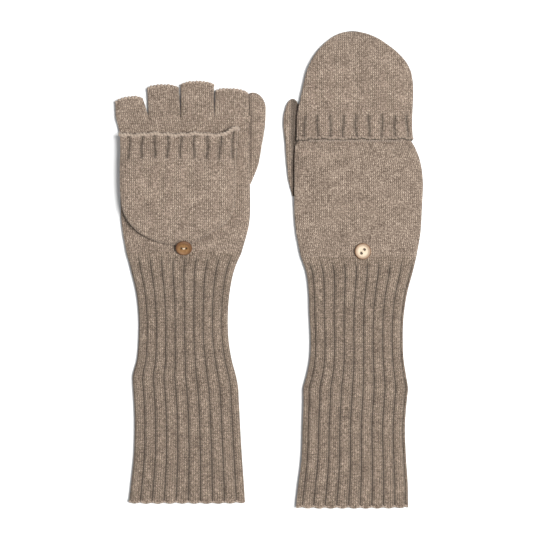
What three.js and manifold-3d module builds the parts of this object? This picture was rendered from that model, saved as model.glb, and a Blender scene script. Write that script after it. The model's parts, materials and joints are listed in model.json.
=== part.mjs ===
// A pair of convertible flip-top mittens, laid flat with the backs of the hands up.
// Left hand: the flap is folded back over the hand and buttoned down, so the finger stalls show.
// Right hand: the flap is closed over the finger stalls, and its button is bare.
// Millimetres. X runs across the pair, Y from the cuff hems to the fingertips, Z up from the table.

import * as THREE from 'three';
import { mergeVertices } from 'three/addons/utils/BufferGeometryUtils.js';
import Module from 'manifold-3d';

const wasm = await Module();
wasm.setup();

// ---- Driving dimensions ----
const KNIT = 1.2;              // one layer of the knit
const GAP = 0.3;               // air between two pieces that touch
const MITTEN_LENGTH = 338.5;   // hem to the tip of the closed flap
const HAND_TALL = 9.7;         // the hand and cuff lying on the table, both layers
const TABLE_LOW = -0.16;       // cut off flat at the table, so that the mittens lie on a flat
const STALL_TALL = 6.9;        // a finger stall, both layers
const STALL_LOW = 1.55;        // a stall's underside, above the table
const FLAP_TALL = 10.0;        // the flap, both layers, with room for the stalls in it
const FLAP_LOW = 0.05;         // the closed flap's underside
const HINGE_HEIGHT = 10.3;     // the line that the flap turns on, above the back of the hand
const RIB_BAND = 19.4;         // depth of the ribbed band round the flap's mouth
const RIM_LIFT = 3.5;          // how far the thumb lifts the edge of the hand that lies on it
const THUMB_TALL = 7.0;
const THUMB_PRESSED = 2.7;     // the thumb's height where the hand lies on it
const BUTTON_RADIUS = 5.8;     // an 18 line button
const BUTTON_THICK = 2.2;
const BUTTON_HOLE = 0.95;
const HOLE_SPACING = 3.2;
const THREAD_RADIUS = 0.42;
const LOOP_RADIUS = 0.5;
const ROUNDNESS = 2.6;         // 2 is an ellipse, more is boxier: a flattened tube of knit
const FLAP_ROUNDNESS = 4;      // the flap is boxier, so that the stalls fit into its corners

// Outline stations: [distance from the hem, left edge, right edge], from the pair's centre line.
const LEFT = {
  name: 'left',
  thumbSide: 1,
  cuffTop: 181,
  hingeLine: 264.5,
  knuckles: 277.3,
  outline: [
    [3.4, -98.6, -15.6], [14, -97.2, -16.0], [32, -95.0, -17.0], [45, -94.5, -17.9],
    [60, -94.5, -19.1], [75, -95.0, -19.9], [84, -95.4, -20.1], [90, -96.0, -20.9],
    [101, -93.1, -23.7], [110, -91.9, -25.8], [119, -91.5, -27.1], [134, -91.6, -27.8],
    [147, -92.6, -27.0], [160, -94.4, -24.9], [168, -96.6, -22.8], [177, -98.9, -19.2],
    [186, -100.9, -16.2], [194, -102.4, -14.0], [202, -103.6, -12.8], [211, -104.3, -12.1],
    [228, -104.4, -11.9], [246, -104.3, -12.1], [262, -104.4, -12.4], [270, -106.0, -12.6],
    [277.3, -107.8, -12.8],
  ],
  thumb: {
    base: 229.5, shoulder: 283, tip: 294.5, coveredTo: -12.6,
    outline: [
      [229.5, -29.5, -11.4], [235, -26.9, -7.8], [244, -23.5, -5.8], [254, -21.6, -4.1],
      [265, -20.0, -2.4], [276, -19.2, -1.0], [283, -19.0, -1.0],
    ],
  },
  stalls: [
    { name: 'index', foot: [-37.6, -12.9], end: [-36.6, -13.6], top: 296.2, slant: -0.06, raise: 1.9 },
    { name: 'middle', foot: [-61.3, -37.9], end: [-61.2, -37.5], top: 301.4, slant: 0, raise: 0 },
    { name: 'ring', foot: [-84.3, -61.7], end: [-85.2, -62.5], top: 299.1, slant: 0.02, raise: 0 },
    { name: 'little', foot: [-107.7, -84.7], end: [-108.7, -88.3], top: 290.4, slant: 0.14, raise: 0 },
  ],
};

const RIGHT = {
  name: 'right',
  thumbSide: -1,
  cuffTop: 177.5,
  hingeLine: 260.4,
  knuckles: 273.2,
  outline: [
    [0, 20.6, 100.6], [8, 21.0, 100.5], [15, 22.0, 100.1], [32, 24.0, 98.8],
    [45, 24.7, 98.5], [57, 25.4, 98.3], [66, 26.0, 98.7], [75, 26.1, 99.4],
    [84, 25.7, 100.2], [92, 27.7, 98.9], [100, 29.6, 97.4], [109, 30.5, 96.7],
    [119, 31.0, 96.6], [134, 30.6, 97.3], [143, 29.9, 98.2], [152, 29.6, 99.6],
    [160, 29.0, 101.5], [168, 27.3, 103.7], [177, 24.1, 105.9], [185, 22.1, 107.8],
    [194, 21.0, 109.2], [202, 20.2, 109.9], [211, 19.5, 110.3], [228, 19.2, 110.7],
    [237, 19.2, 110.2], [245, 19.3, 109.1], [250, 19.5, 107.4], [256, 20.2, 104.9],
    [259, 21.3, 103.2], [261.2, 23.9, 101.7], [273.2, 28.9, 98.0],
  ],
  thumb: {
    base: 221, shoulder: 272, tip: 290.4, coveredTo: 19.5,
    outline: [
      [221, 17.9, 32.5], [228, 16.0, 30.4], [237, 14.4, 28.4], [251, 13.4, 26.6],
      [262, 12.8, 25.6], [272, 11.8, 25.0],
    ],
  },
  stalls: [
    { name: 'index', foot: [29.0, 46.2], end: [31.4, 46.4], top: 292.0, slant: 0, raise: 0 },
    { name: 'middle', foot: [46.6, 63.9], end: [46.6, 63.9], top: 298.8, slant: 0, raise: 0 },
    { name: 'ring', foot: [64.3, 81.7], end: [64.3, 81.7], top: 295.5, slant: 0, raise: 0 },
    { name: 'little', foot: [82.1, 97.6], end: [82.1, 97.2], top: 287.0, slant: 0, raise: 0 },
  ],
};

// Each flap runs from its mouth, on the hinge line, to its tip. Its outline stations go as far as
// the cap, from where the sides close on the tip. Past the shoulder it thins.
const LEFT_FLAP = {
  mouth: 264.5, shoulder: 213, tip: 185.4, tipAcross: -62.3,
  low: 2 * HINGE_HEIGHT - FLAP_LOW - FLAP_TALL, lift: 0, tipRise: 0,
  outline: [
    [264.5, -103.8, -20.4], [250, -103.4, -21.2], [233, -103.5, -21.8], [220, -103.2, -22.1],
    [212, -102.2, -23.2], [207, -100.6, -25.2], [202, -97.8, -28.8], [197, -93.5, -35.0],
    [193, -88.4, -41.6], [190.2, -83.0, -46.6],
  ],
};
const RIGHT_FLAP = {
  mouth: 260.4, shoulder: 292.8, tip: MITTEN_LENGTH, tipAcross: 61,
  low: FLAP_LOW, lift: 1.7, tipRise: 1.7,
  outline: [
    [260.4, 21.2, 103.8], [272, 21.2, 103.4], [280, 21.6, 103.5], [288, 23.2, 103.7],
    [296, 24.8, 103.7], [303, 26.2, 103.2], [310, 28.0, 101.7], [317, 31.2, 98.0],
    [324, 35.8, 91.6], [328, 39.3, 87.0], [331.6, 43.4, 82.0],
  ],
};

const LEFT_BUTTON = { across: -58.6, along: 183.6, height: 15.2, tilt: 35, turn: 0 };
const RIGHT_BUTTON = { across: 67.6, along: 181.4, height: 12.4, tilt: 0, turn: 50 };

// ---- Materials ----
const finish = (color, roughness) => new THREE.MeshStandardMaterial({ color, roughness, metalness: 0 });
const stockinette = () => finish(0xa18f7e, 0.95);
const ribbing = () => finish(0x948170, 0.95);
const sewingYarn = () => finish(0x8f7d6b, 0.9);
const caramelWood = () => finish(0x94704e, 0.5);
const paleWood = () => finish(0xd8c3a8, 0.5);
const paleThread = () => finish(0xd9c9b2, 0.8);

// ---- Shapes ----

// A smooth value between stations, with the slope at each taken from its two neighbours.
function valueAt(stations, y, column) {
  const last = stations.length - 1;
  const found = stations.findIndex((station, k) => k < last && y <= stations[k + 1][0]);
  const i = found < 0 ? last - 1 : found;
  const slope = (k) => {
    const a = stations[Math.max(k - 1, 0)];
    const b = stations[Math.min(k + 1, last)];
    return (b[column] - a[column]) / (b[0] - a[0]);
  };
  const span = stations[i + 1][0] - stations[i][0];
  const t = THREE.MathUtils.clamp((y - stations[i][0]) / span, 0, 1);
  const start = stations[i][column];
  const end = stations[i + 1][column];
  const t2 = t * t;
  const t3 = t2 * t;
  return (2 * t3 - 3 * t2 + 1) * start + (t3 - 2 * t2 + t) * span * slope(i)
    + (3 * t2 - 2 * t3) * end + (t3 - t2) * span * slope(i + 1);
}

// One ring of a flattened tube of knit. lift raises its underside towards one edge, and press
// lowers its upper side where something lies on it.
function ring(section, count) {
  const { y, left, right, low, high, slant = 0, lift = 0, liftSide = 1, liftAt = [0.5, 0.7] } = section;
  const { press = 0, pressTo = 0, pressSide = 1, rest = -Infinity, roundness = ROUNDNESS } = section;
  const half = (right - left) / 2;
  const power = 2 / roundness;
  const points = [];
  for (let i = 0; i < count; i += 1) {
    const angle = (i / count) * 2 * Math.PI;
    const u = Math.sign(Math.cos(angle)) * Math.abs(Math.cos(angle)) ** power;
    const v = Math.sign(Math.sin(angle)) * Math.abs(Math.sin(angle)) ** power;
    const x = (left + right) / 2 + half * u;
    let z = (low + high) / 2 + ((high - low) / 2) * v;
    const risen = lift * THREE.MathUtils.smoothstep(u * liftSide, liftAt[0], liftAt[1]);
    z += (risen * (high - z)) / (high - low);
    const covered = 1 - THREE.MathUtils.smoothstep((x - pressTo) * pressSide, -2.5, 2.5);
    z -= (press * covered * (z - low)) / (high - low);
    points.push(new THREE.Vector3(x, y + slant * half * u, Math.max(z, rest)));
  }
  return points;
}

// A closed surface through rings: the last ring joins the first, or each end closes on a pole.
function surface(rings, startPole, endPole) {
  const count = rings[0].length;
  const points = rings.flat();
  const triangles = [];
  const joins = startPole ? rings.length - 1 : rings.length;
  for (let j = 0; j < joins; j += 1) {
    const next = (j + 1) % rings.length;
    for (let i = 0; i < count; i += 1) {
      const k = (i + 1) % count;
      const corners = [j * count + i, j * count + k, next * count + k, next * count + i];
      triangles.push(corners[0], corners[1], corners[2], corners[0], corners[2], corners[3]);
    }
  }
  if (startPole) {
    points.push(startPole, endPole);
    const top = (rings.length - 1) * count;
    for (let i = 0; i < count; i += 1) {
      const k = (i + 1) % count;
      triangles.push(points.length - 2, k, i);
      triangles.push(points.length - 1, top + i, top + k);
    }
  }
  return facingOut(points, triangles);
}

// Turns the triangles round if they enclose a negative volume.
function facingOut(points, triangles) {
  let volume = 0;
  for (let i = 0; i < triangles.length; i += 3) {
    const [a, b, c] = [points[triangles[i]], points[triangles[i + 1]], points[triangles[i + 2]]];
    volume += a.dot(new THREE.Vector3().crossVectors(b, c));
  }
  const geometry = new THREE.BufferGeometry().setFromPoints(points);
  geometry.setIndex(volume < 0 ? [...triangles].reverse() : triangles);
  return geometry;
}

// A section one layer of knit inside another.
function inside(section) {
  return {
    ...section,
    left: section.left + KNIT,
    right: section.right - KNIT,
    low: section.low + KNIT,
    high: section.high - KNIT,
    rest: -Infinity,
  };
}

// A tube of knit that is open at both ends.
function openTube(sections, count) {
  const outer = sections.map((section) => ring(section, count));
  const inner = sections.map((section) => ring(inside(section), count)).reverse();
  return surface([...outer, ...inner]);
}

// A tube of knit that is open at its first section and closed at its tip.
function closedTube(outerSections, innerSections, outerTip, innerTip, count) {
  const inner = innerSections.map((section) => ring(section, count)).reverse();
  const outer = outerSections.map((section) => ring(section, count));
  return surface([...inner, ...outer], innerTip, outerTip);
}

// Even steps from one distance to another, ends included.
function steps(from, to, number) {
  return Array.from({ length: number + 1 }, (unused, i) => from + ((to - from) * i) / number);
}

function named(name, geometry, material) {
  const mesh = new THREE.Mesh(geometry, material);
  mesh.name = name;
  return mesh;
}

function solidOf(geometry) {
  const bare = geometry.clone();
  bare.deleteAttribute('normal');
  bare.deleteAttribute('uv');
  const merged = mergeVertices(bare, 1e-4);
  return new wasm.Manifold(new wasm.Mesh({
    numProp: 3,
    vertProperties: Float32Array.from(merged.attributes.position.array),
    triVerts: Uint32Array.from(merged.index.array),
  }));
}

function cut(geometry, tool) {
  const mesh = solidOf(geometry).subtract(solidOf(tool)).getMesh();
  const result = new THREE.BufferGeometry();
  result.setAttribute('position', new THREE.BufferAttribute(mesh.vertProperties, 3));
  result.setIndex(new THREE.BufferAttribute(mesh.triVerts, 1));
  return result;
}

// A round cord along a curve, closed at both ends.
function cordAlong(points, radius, numberOfSteps, sides) {
  const circle = new THREE.Shape();
  for (let i = 0; i < sides; i += 1) {
    const angle = (i / sides) * 2 * Math.PI;
    const [x, y] = [radius * Math.cos(angle), radius * Math.sin(angle)];
    if (i === 0) circle.moveTo(x, y);
    else circle.lineTo(x, y);
  }
  const extrudePath = new THREE.CatmullRomCurve3(points, false, 'centripetal');
  return new THREE.ExtrudeGeometry(circle, { steps: numberOfSteps, extrudePath });
}

// ---- The mitten's pieces ----

// The cuff: a long wide-rib tube, drawn in at the wrist and open at the hem.
function cuff(mitten) {
  const hem = mitten.outline[0][0];
  const distances = [hem, 16, 32, 57, 78, 84, 92, 104, 120, 137, 154, 168, mitten.cuffTop - GAP];
  const sections = distances.map((y) => ({
    y,
    left: valueAt(mitten.outline, y, 1),
    right: valueAt(mitten.outline, y, 2),
    low: TABLE_LOW,
    high: HAND_TALL,
    rest: 0,
  }));
  return openTube(sections, 24);
}

// The hand: from the cuff to the knuckles. It thins towards the knuckles, where the closed flap
// goes round it, and its thumb edge rides up over the thumb that lies folded beside it.
function hand(mitten) {
  const { cuffTop, hingeLine, knuckles, thumb, thumbSide } = mitten;
  const distances = [
    ...steps(cuffTop, thumb.base - 9, 2), thumb.base - 5, thumb.base - 1,
    ...steps(thumb.base + 10, hingeLine - 8, 1), hingeLine - 2.5, hingeLine + 0.8, knuckles,
  ];
  const sections = distances.map((y) => {
    const thinned = THREE.MathUtils.smoothstep(y, hingeLine - 8, hingeLine - 2.5);
    const lifted = THREE.MathUtils.smoothstep(y, thumb.base - 9, thumb.base - 1);
    const stallHigh = STALL_LOW + STALL_TALL;
    return {
      y,
      left: valueAt(mitten.outline, y, 1),
      right: valueAt(mitten.outline, y, 2),
      low: THREE.MathUtils.lerp(TABLE_LOW, STALL_LOW, thinned),
      high: THREE.MathUtils.lerp(HAND_TALL, stallHigh, thinned),
      lift: lifted * THREE.MathUtils.lerp(RIM_LIFT, RIM_LIFT - STALL_LOW, thinned),
      liftSide: thumbSide,
      liftAt: [0.45, 0.66],
      rest: 0,
    };
  });
  return cut(openTube(sections, 28), thumbHole(mitten));
}

// The slot through the hand's wall where the thumb grows out of it.
function thumbHole(mitten) {
  const { thumb } = mitten;
  const width = 11;
  const tall = 4.4;
  const long = 15;
  const middle = (thumb.outline[0][1] + thumb.outline[0][2]) / 2 - mitten.thumbSide * 3;
  const hole = new THREE.BoxGeometry(width, long, tall);
  hole.translate(middle, thumb.base - long / 2 + 3, KNIT + GAP + tall / 2 - 0.6);
  return hole;
}

// The thumb: a closed stall folded up beside the hand, with its inner side under the hand.
function thumb(mitten) {
  const { base, shoulder, tip, outline, coveredTo } = mitten.thumb;
  const side = mitten.thumbSide;
  const half = (outline.at(-1)[2] - outline.at(-1)[1]) / 2;
  const middle = (outline.at(-1)[2] + outline.at(-1)[1]) / 2;
  const section = (y) => ({
    y,
    left: valueAt(outline, y, 1),
    right: valueAt(outline, y, 2),
    low: 0.05,
    high: THUMB_TALL,
    press: THUMB_TALL - THUMB_PRESSED,
    pressTo: coveredTo,
    pressSide: side,
  });
  const rounded = (angle, inset) => {
    const width = (half - inset) * Math.cos(angle);
    const y = shoulder + (tip - inset - shoulder) * Math.sin(angle);
    const tall = ((THUMB_TALL - 0.05) / 2 - inset) * (1 - 0.75 * Math.sin(angle) ** 4);
    const centre = 0.05 + (THUMB_TALL - 0.05) / 2;
    return { ...section(shoulder), y, left: middle - width, right: middle + width, low: centre - tall, high: centre + tall };
  };
  const straight = steps(base, shoulder, 4).map(section);
  const turns = [22, 42, 60, 75].map((degrees) => degrees * THREE.MathUtils.DEG2RAD);
  const outer = [...straight, ...turns.map((angle) => rounded(angle, 0))];
  const inner = [...straight.map(inside), ...turns.map((angle) => rounded(angle, KNIT))];
  const height = 0.05 + (THUMB_TALL - 0.05) / 2;
  const pressedHeight = height - 0.6;
  return closedTube(
    outer, inner,
    new THREE.Vector3(middle, tip, pressedHeight), new THREE.Vector3(middle, tip - KNIT, pressedHeight), 20,
  );
}

// A finger stall: a short tube, open at its end, that leaves the fingertip bare.
function fingerStall(mitten, stall) {
  const foot = mitten.knuckles + GAP;
  const sections = steps(0, 1, 3).map((t) => ({
    y: THREE.MathUtils.lerp(foot, stall.top, t),
    left: THREE.MathUtils.lerp(stall.foot[0], stall.end[0], t),
    right: THREE.MathUtils.lerp(stall.foot[1], stall.end[1], t),
    low: STALL_LOW + stall.raise,
    high: STALL_LOW + STALL_TALL + stall.raise,
    slant: stall.slant * t,
  }));
  return openTube(sections, 16);
}

// The flap's left and right edges at a distance along it. The cap closes like the end of a bowl.
function flapEdges(flap, y, tip, inset) {
  const away = Math.sign(flap.tip - flap.mouth);
  const cap = flap.outline.at(-1)[0];
  const stations = away > 0 ? flap.outline : [...flap.outline].reverse();
  const along = (y - cap) * away > 0 ? cap : y;
  const left = valueAt(stations, along, 1) + inset;
  const right = valueAt(stations, along, 2) - inset;
  const past = THREE.MathUtils.clamp((y - cap) / (tip - cap), 0, 1);
  const half = ((right - left) / 2) * Math.sqrt(1 - past);
  const middle = THREE.MathUtils.lerp((left + right) / 2, flap.tipAcross, past);
  return [middle - half, middle + half];
}

// The flap's section at a distance along it. Its tip narrows to a curve and thins.
function flapSection(flap, y) {
  const past = THREE.MathUtils.clamp((y - flap.shoulder) / (flap.tip - flap.shoulder), 0, 1);
  const [left, right] = flapEdges(flap, y, flap.tip, 0);
  const fromTip = Math.max(Math.abs(flap.tip - y), 0.25);
  const tall = Math.min(FLAP_TALL, FLAP_TALL * (fromTip / 26) ** 0.42);
  const rise = flap.tipRise * THREE.MathUtils.smoothstep(past, 0.45, 0.7);
  return {
    y,
    left,
    right,
    low: flap.low + rise,
    high: flap.low + rise + Math.max(tall - rise, 0.3),
    lift: flap.lift * (1 - past),
    liftSide: -1,
    liftAt: [0.8, 0.95],
    roundness: FLAP_ROUNDNESS,
  };
}

// The ribbed band round the flap's mouth.
function flapRib(flap) {
  const away = Math.sign(flap.tip - flap.mouth);
  const distances = steps(flap.mouth, flap.mouth + away * (RIB_BAND - GAP), 2);
  return openTube(distances.map((y) => flapSection(flap, y)), 28);
}

// The flap: a pouch that covers the fingertips.
function flapPouch(flap) {
  const away = Math.sign(flap.tip - flap.mouth);
  const start = flap.mouth + away * RIB_BAND;
  const sides = flap.outline.map((station) => station[0]).filter((y) => (y - start) * away > 1);
  const cap = sides.at(-1);
  const innerEnd = flap.tip - away * 2.6;
  const closing = [0.4, 0.7, 0.9];
  const outer = [start, ...sides, ...closing.map((t) => THREE.MathUtils.lerp(cap, flap.tip, t))];
  const inner = [start, ...sides, ...closing.map((t) => THREE.MathUtils.lerp(cap, innerEnd, t))];
  const innerSections = inner.map((y) => {
    const [left, right] = flapEdges(flap, y, innerEnd, KNIT);
    return { ...inside(flapSection(flap, y)), left, right };
  });
  const tipHeight = flap.low + flap.tipRise + 0.8;
  return closedTube(
    outer.map((y) => flapSection(flap, y)), innerSections,
    new THREE.Vector3(flap.tipAcross, flap.tip, tipHeight),
    new THREE.Vector3(flap.tipAcross, innerEnd, tipHeight + 0.9), 28,
  );
}

// The seam that sews the back edge of the flap's band to the back of the hand.
function flapSeam(mitten, flap) {
  const inset = 9;
  const [from, to] = [flap.outline[0][1] + inset, flap.outline[0][2] - inset];
  const y = mitten.hingeLine - 0.8;
  const z = HINGE_HEIGHT - 0.75;
  const points = steps(from, to, 6).map((x) => new THREE.Vector3(x, y, z));
  return cordAlong(points, 0.45, 12, 6);
}

// The place and turn of a button: its local Z is its face.
function buttonPlace(button) {
  const place = new THREE.Group();
  place.position.set(button.across, button.along, button.height);
  place.rotation.x = button.tilt * THREE.MathUtils.DEG2RAD;
  return place;
}

// A turned button with a raised rim, a dished face and two holes.
function buttonBlank(button) {
  const half = BUTTON_THICK / 2;
  const profile = [
    [0, -half], [BUTTON_RADIUS - 1.4, -half], [BUTTON_RADIUS - 0.3, -half + 0.6],
    [BUTTON_RADIUS, 0.1], [BUTTON_RADIUS - 0.35, half - 0.1], [BUTTON_RADIUS - 0.9, half],
    [BUTTON_RADIUS - 1.6, half - 0.15], [BUTTON_RADIUS - 2.2, half - 0.5], [0, half - 0.6],
  ];
  const disc = new THREE.LatheGeometry(profile.map(([x, y]) => new THREE.Vector2(x, y)), 24);
  disc.rotateX(Math.PI / 2);
  let blank = disc;
  for (const side of [-1, 1]) {
    const hole = new THREE.CylinderGeometry(BUTTON_HOLE, BUTTON_HOLE, 4 * BUTTON_THICK, 10);
    hole.rotateX(Math.PI / 2);
    hole.translate((side * HOLE_SPACING) / 2, 0, 0);
    blank = cut(blank, hole);
  }
  blank.rotateZ(button.turn * THREE.MathUtils.DEG2RAD);
  return blank;
}

// The sewing thread: up from the knit through one hole, over the face, and down through the other.
function buttonThread(button, footDrop, footBack) {
  const across = HOLE_SPACING / 2;
  const top = BUTTON_THICK / 2 + 0.35;
  const under = -BUTTON_THICK / 2 - 0.3;
  const leg = (side) => [
    new THREE.Vector3(side * across * 0.55, footBack, -footDrop),
    new THREE.Vector3(side * across, footBack * 0.3, (under - footDrop) / 2),
    new THREE.Vector3(side * across, 0, under + 0.3),
    new THREE.Vector3(side * across, 0, BUTTON_THICK / 2 - 0.4),
    new THREE.Vector3(side * across * 0.6, 0, top),
  ];
  const points = [...leg(-1), ...leg(1).reverse()];
  const thread = cordAlong(points, THREAD_RADIUS, 30, 6);
  thread.rotateZ(button.turn * THREE.MathUtils.DEG2RAD);
  return thread;
}

// A loop of cord sewn to the flap's tip, which slips over the button.
function buttonLoop(across, from, to, height) {
  const half = 3.1;
  const bend = Math.sign(to - from) * half;
  const points = [new THREE.Vector3(across - half, from, height)];
  for (const degrees of [180, 150, 120, 90, 60, 30, 0]) {
    const angle = degrees * THREE.MathUtils.DEG2RAD;
    const [x, y] = [across + half * Math.cos(angle), to - bend + bend * Math.sin(angle)];
    points.push(new THREE.Vector3(x, y, height));
  }
  points.push(new THREE.Vector3(across + half, from, height));
  return cordAlong(points, LOOP_RADIUS, 24, 6);
}

// ---- The pair ----
const pair = new THREE.Group();

function addMitten(mitten, flap) {
  const { name } = mitten;
  pair.add(named(`${name}_cuff`, cuff(mitten), ribbing()));
  pair.add(named(`${name}_hand`, hand(mitten), stockinette()));
  pair.add(named(`${name}_thumb`, thumb(mitten), stockinette()));
  for (const stall of mitten.stalls) {
    pair.add(named(`${name}_${stall.name}_stall`, fingerStall(mitten, stall), stockinette()));
  }
  pair.add(named(`${name}_flap`, flapPouch(flap), stockinette()));
  pair.add(named(`${name}_flap_rib`, flapRib(flap), ribbing()));
  pair.add(named(`${name}_flap_seam`, flapSeam(mitten, flap), sewingYarn()));
}

function addButton(name, button, footDrop, footBack, material) {
  const place = buttonPlace(button);
  place.add(named(`${name}_button`, buttonBlank(button), material));
  place.add(named(`${name}_button_thread`, buttonThread(button, footDrop, footBack), paleThread()));
  pair.add(place);
}

addMitten(LEFT, LEFT_FLAP);
addMitten(RIGHT, RIGHT_FLAP);
addButton('left', LEFT_BUTTON, 3.4, -3.6, caramelWood());
addButton('right', RIGHT_BUTTON, 2.2, 0, paleWood());
pair.add(named('left_button_loop', buttonLoop(-58.6, 185.0, 180.9, 11.0), sewingYarn()));
pair.add(named('right_button_loop', buttonLoop(64.4, 335, 326.5, 0.8), sewingYarn()));

// The origin is under the middle of the pair, on the table.
const middle = new THREE.Box3().setFromObject(pair).getCenter(new THREE.Vector3());
pair.position.set(-middle.x, -middle.y, 0);

export default pair;
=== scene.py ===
# %% [markdown]
# # Convertible flip-top mittens
# A pair of long knitted mittens lies flat on a white table, backs of the hands up. On the left
# one the flap is folded back and buttoned, so the four finger stalls show. On the right one the
# flap is closed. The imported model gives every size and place, and this file gives the looks.

import json
import math

import bpy
import numpy as np
from mathutils import Matrix, Vector


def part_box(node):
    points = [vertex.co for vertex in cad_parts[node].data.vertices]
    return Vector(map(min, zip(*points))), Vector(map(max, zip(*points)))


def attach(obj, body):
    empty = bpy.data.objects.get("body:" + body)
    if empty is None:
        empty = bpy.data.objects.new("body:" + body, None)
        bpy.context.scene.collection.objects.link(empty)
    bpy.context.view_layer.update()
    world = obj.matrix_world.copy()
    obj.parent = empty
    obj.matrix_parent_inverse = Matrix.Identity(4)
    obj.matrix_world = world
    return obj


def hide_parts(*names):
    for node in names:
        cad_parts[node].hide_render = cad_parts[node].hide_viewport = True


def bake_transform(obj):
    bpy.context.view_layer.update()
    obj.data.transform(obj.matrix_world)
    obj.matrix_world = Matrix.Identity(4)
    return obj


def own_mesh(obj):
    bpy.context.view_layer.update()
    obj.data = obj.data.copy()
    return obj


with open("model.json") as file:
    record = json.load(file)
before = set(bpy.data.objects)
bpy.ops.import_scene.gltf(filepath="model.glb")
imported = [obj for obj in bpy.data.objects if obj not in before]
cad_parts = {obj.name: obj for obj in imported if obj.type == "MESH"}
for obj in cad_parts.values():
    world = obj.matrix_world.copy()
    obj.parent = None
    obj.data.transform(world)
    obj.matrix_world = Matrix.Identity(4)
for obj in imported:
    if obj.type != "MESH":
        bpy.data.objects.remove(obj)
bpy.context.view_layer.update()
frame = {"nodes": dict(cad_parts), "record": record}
MM = 0.001

# %% [markdown]
# ## Camera and light
# The pair is looked at from straight above with a longish lens, so that nothing leans. One soft
# light hangs almost overhead, a little to the right, and throws a narrow dark shadow to the left
# of each mitten. A weak pale sky fills the rest, so that the gutters don't go quite black.

# %% Camera
LENS = 100
SENSOR = 36
VIEW_WIDTH = 378.4 * MM
camera_data = bpy.data.cameras.new("overhead_camera")
camera_data.lens = LENS
camera_data.sensor_width = SENSOR
camera = bpy.data.objects.new("overhead_camera", camera_data)
camera.location = (-1.36 * MM, 1.5 * MM, VIEW_WIDTH * LENS / SENSOR + 6 * MM)
bpy.context.collection.objects.link(camera)
bpy.context.scene.camera = camera

# %% Lights and table
def area_light(name, place, power, size, color):
    """A square soft light that looks at the middle of the pair."""
    data = bpy.data.lights.new(name, "AREA")
    data.energy, data.size, data.color = power, size, color
    lamp = bpy.data.objects.new(name, data)
    lamp.location = place
    lamp.rotation_euler = (-Vector(place)).to_track_quat("-Z", "Y").to_euler()
    bpy.context.collection.objects.link(lamp)
    return lamp


area_light("window_light", (0.44, 0.04, 1.6), 39, 0.45, (1.0, 0.99, 0.97))
area_light("top_fill", (-0.2, -0.3, 1.9), 5, 1.6, (0.97, 0.985, 1.0))
world = bpy.data.worlds.new("pale_studio")
world.use_nodes = True
world.node_tree.nodes["Background"].inputs["Color"].default_value = (0.93, 0.965, 1.0, 1.0)
world.node_tree.nodes["Background"].inputs["Strength"].default_value = 0.24
bpy.context.scene.world = world
bpy.context.scene.view_settings.view_transform = "Standard"

# %% [markdown]
# ## Helpers for materials
# A hex colour is how a dye or a paint is usually noted. Blender's shaders want linear light, so
# one function turns the one into the other. Another adds a node with its settings and links.

# %% Colour and node helpers
def linear(hex_colour):
    """A hex sRGB colour as linear red, green, blue and alpha."""
    parts = [int(hex_colour[i:i + 2], 16) / 255 for i in (1, 3, 5)]
    return [c / 12.92 if c <= 0.04045 else ((c + 0.055) / 1.055) ** 2.4 for c in parts] + [1.0]


def add_node(tree, kind, settings=None, **sockets):
    """A node of that kind. A socket's name has _ for a space, or in1 for its number. Its value is
    a plain one, another node, whose first output is taken, or one output of another node."""
    made = tree.nodes.new(kind)
    for name, value in (settings or {}).items():
        setattr(made, name, value)
    for name, value in sockets.items():
        key = int(name[2:]) if name[:2] == "in" and name[2:].isdigit() else name.replace("_", " ")
        if isinstance(value, bpy.types.Node):
            value = value.outputs[0]
        if isinstance(value, bpy.types.NodeSocket):
            tree.links.new(value, made.inputs[key])
        else:
            made.inputs[key].default_value = value
    return made


def new_material(name, roughness):
    """An empty material with a shader of that roughness: its tree and its shader."""
    material = bpy.data.materials.new(name)
    material.use_nodes = True
    tree = material.node_tree
    shader = tree.nodes["Principled BSDF"]
    shader.inputs["Roughness"].default_value = roughness
    return material, tree, shader

# %% [markdown]
# ## The table
# A plain white sheet of card, matt, far larger than the view.

# %% Table
card, _, card_shader = new_material("white_card", 0.9)
card_shader.inputs["Base Color"].default_value = linear("#F4F5F6")
bpy.ops.mesh.primitive_plane_add(size=6, location=(0, 0, -0.0002))
table = bpy.context.object
table.name = "table"
table.data.materials.append(card)

# %% [markdown]
# ## The yarn
# Carded cashmere: short fibres of light, middle and dark taupe are blended before spinning, so the
# yarn is heathered, with no shine and a soft halo. Stockinette shows a column of V shapes for each
# wale. The V is drawn from the piece's own stitch map, where one unit across is one wale and one
# unit along is one course, so that the columns follow the cloth as it narrows and turns.

# %% Knit material
WALE = 1.5 * MM
COURSE = 1.7 * MM
MATH = "ShaderNodeMath"


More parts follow.
